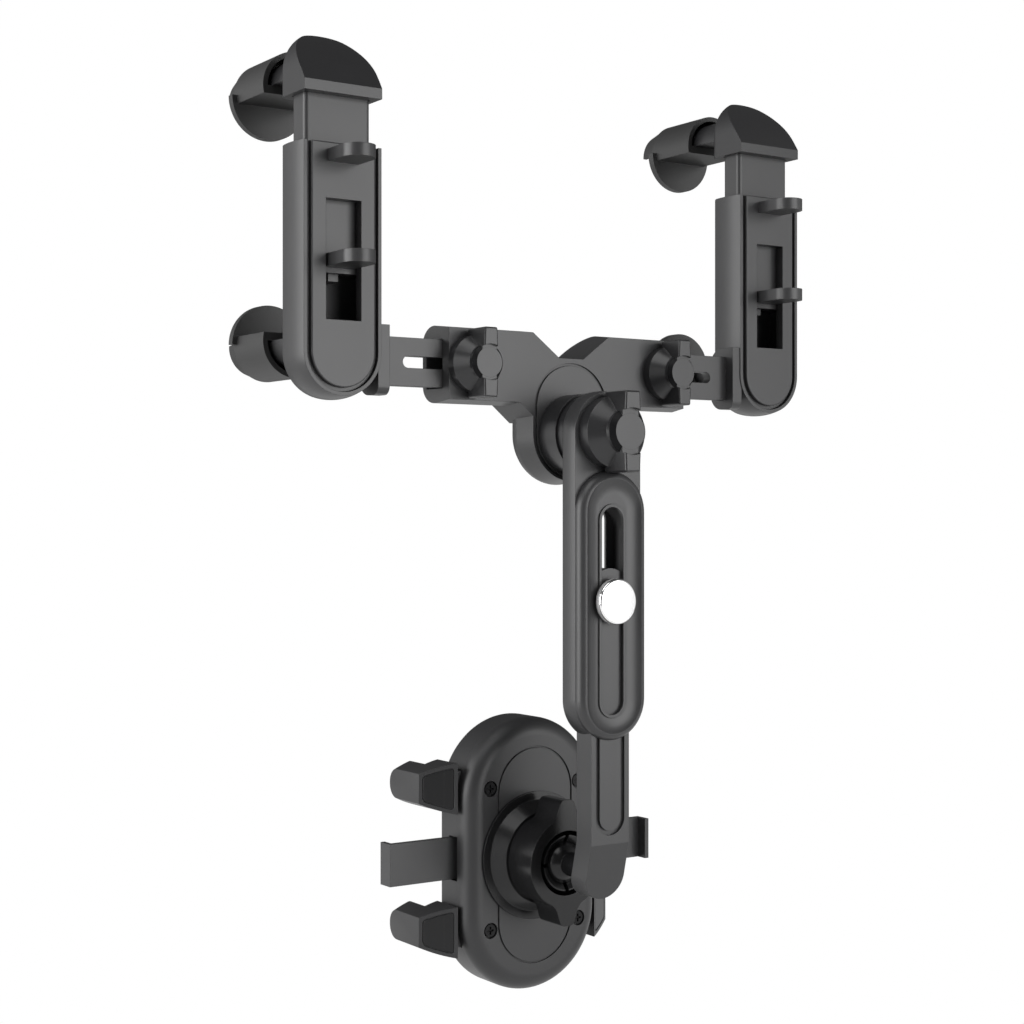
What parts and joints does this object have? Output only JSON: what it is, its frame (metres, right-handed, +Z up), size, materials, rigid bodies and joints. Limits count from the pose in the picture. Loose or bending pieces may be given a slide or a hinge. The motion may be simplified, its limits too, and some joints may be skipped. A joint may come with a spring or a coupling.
{
  "type": "rear-view mirror phone mount",
  "caption": "Black plastic phone mount: two sprung clamps on sliding rails grip a mirror; a hinged, extending arm carries a ball-jointed cradle with claws.",
  "frame": {"origin": "midway between the two clamps, on the housings' back plane, at mid jaw height", "axes": "+X along the yoke, +Y from the front towards the phone's screen side, +Z up"},
  "size_m": [0.2264, 0.1047, 0.3495],
  "materials": {
    "shell_plastic": "fine matte black moulding",
    "satin_plastic": "satin black moulding",
    "smooth_plastic": "smooth black moulding",
    "cap_plastic": "black moulding with a glossy sloping face",
    "soft_rubber": "soft matte rubber",
    "dark_steel": "dark plated steel",
    "bright_chrome": "bright chrome"
  },
  "bodies": {
    "yoke": {"yoke": "shell_plastic", "hub_drum": "satin_plastic", "friction_washer": "satin_plastic", "hub_bolt": "dark_steel", "knob_bolt_left": "dark_steel", "knob_bolt_right": "dark_steel"},
    "left_clamp": {"housing_left": "shell_plastic", "cover_left": "shell_plastic", "lower_jaw_left": "shell_plastic", "lower_pad_left": "soft_rubber", "jaw_spring_left": "dark_steel"},
    "left_jaw": {"slider_left": "shell_plastic", "upper_jaw_left": "cap_plastic", "upper_pad_left": "soft_rubber"},
    "left_knob": {"left_knob": "satin_plastic"},
    "right_clamp": {"housing_right": "shell_plastic", "cover_right": "shell_plastic", "lower_jaw_right": "shell_plastic", "lower_pad_right": "soft_rubber", "jaw_spring_right": "dark_steel"},
    "right_jaw": {"slider_right": "shell_plastic", "upper_jaw_right": "cap_plastic", "upper_pad_right": "soft_rubber"},
    "right_knob": {"right_knob": "satin_plastic"},
    "hub_knob": {"hub_knob": "satin_plastic"},
    "arm": {"arm": "shell_plastic"},
    "lower_bar": {"lower_bar": "shell_plastic"},
    "thumb_screw": {"thumb_screw": "bright_chrome"},
    "ball_stud": {"ball_stud": "satin_plastic"},
    "ball_collar": {"ball_collar": "satin_plastic"},
    "ball_nut": {"ball_nut": "satin_plastic"},
    "cradle": {"back_shell": "shell_plastic", "front_shell": "shell_plastic", "shell_screws": "dark_steel", "front_pad": "soft_rubber"},
    "pinion": {"pinion": "smooth_plastic"},
    "left_claws": {"claw_slide_left": "smooth_plastic", "claw_left_upper": "shell_plastic", "claw_left_lower": "shell_plastic"},
    "right_claws": {"claw_slide_right": "smooth_plastic", "claw_right_upper": "shell_plastic", "claw_right_lower": "shell_plastic"}
  },
  "joints": [
    {"name": "left_clamp_slide", "type": "slide", "parent": "yoke", "child": "left_clamp", "axis": [1, 0, 0], "range_m": [-0.002, 0.019]},
    {"name": "left_jaw_slide", "type": "slide", "parent": "left_clamp", "child": "left_jaw", "axis": [0, 0, 1], "range_m": [-0.0165, 0.0175], "stiffness_N_per_m": 400, "deforming": ["jaw_spring_left"]},
    {"name": "left_knob_turn", "type": "hinge", "parent": "yoke", "child": "left_knob", "pos_m": [-0.044, -0.0156, -0.0505], "axis": [0, -1, 0], "continuous": true},
    {"name": "right_clamp_slide", "type": "slide", "parent": "yoke", "child": "right_clamp", "axis": [-1, 0, 0], "range_m": [-0.002, 0.019]},
    {"name": "right_jaw_slide", "type": "slide", "parent": "right_clamp", "child": "right_jaw", "axis": [0, 0, 1], "range_m": [-0.0165, 0.0175], "stiffness_N_per_m": 400, "deforming": ["jaw_spring_right"]},
    {"name": "right_knob_turn", "type": "hinge", "parent": "yoke", "child": "right_knob", "pos_m": [0.044, -0.0156, -0.0505], "axis": [0, -1, 0], "continuous": true},
    {"name": "hub_knob_turn", "type": "hinge", "parent": "yoke", "child": "hub_knob", "pos_m": [0, -0.0385, -0.0748], "axis": [0, -1, 0], "continuous": true},
    {"name": "arm_swing", "type": "hinge", "parent": "yoke", "child": "arm", "pos_m": [0, -0.0342, -0.0748], "axis": [0, 1, 0], "range_deg": [-75, 75]},
    {"name": "bar_slide", "type": "slide", "parent": "arm", "child": "lower_bar", "axis": [0, 0, 1], "range_m": [-0.035, 0.0218]},
    {"name": "thumb_screw_turn", "type": "hinge", "parent": "lower_bar", "child": "thumb_screw", "pos_m": [0, -0.04, -0.1357], "axis": [0, -1, 0], "continuous": true},
    {"name": "ball_swivel", "type": "hinge", "parent": "lower_bar", "child": "ball_stud", "pos_m": [0, -0.0075, -0.2345], "axis": [0, 1, 0], "continuous": true},
    {"name": "ball_tilt", "type": "hinge", "parent": "ball_stud", "child": "ball_collar", "pos_m": [0, -0.0075, -0.2345], "axis": [1, 0, 0], "range_deg": [-20, 20]},
    {"name": "nut_turn", "type": "hinge", "parent": "ball_collar", "child": "ball_nut", "pos_m": [0, -0.0075, -0.2345], "axis": [0, -1, 0], "continuous": true},
    {"name": "cradle_turn", "type": "hinge", "parent": "ball_collar", "child": "cradle", "pos_m": [0, -0.0075, -0.2345], "axis": [0, 1, 0], "continuous": true},
    {"name": "left_claws_slide", "type": "slide", "parent": "cradle", "child": "left_claws", "axis": [-1, 0, 0], "range_m": [0, 0.011], "stiffness_N_per_m": 300, "springref_m": -0.003},
    {"name": "right_claws_slide", "type": "slide", "parent": "cradle", "child": "right_claws", "axis": [1, 0, 0], "range_m": [0, 0.011]},
    {"name": "pinion_turn", "type": "hinge", "parent": "cradle", "child": "pinion", "pos_m": [0, 0.019, -0.2345], "axis": [0, -1, 0], "range_deg": [0, 127]}
  ],
  "couplings": [
    {"joint": "right_claws_slide", "follows": "left_claws_slide", "ratio": 1},
    {"joint": "pinion_turn", "follows": "left_claws_slide", "rad_per_m": 200}
  ]
}
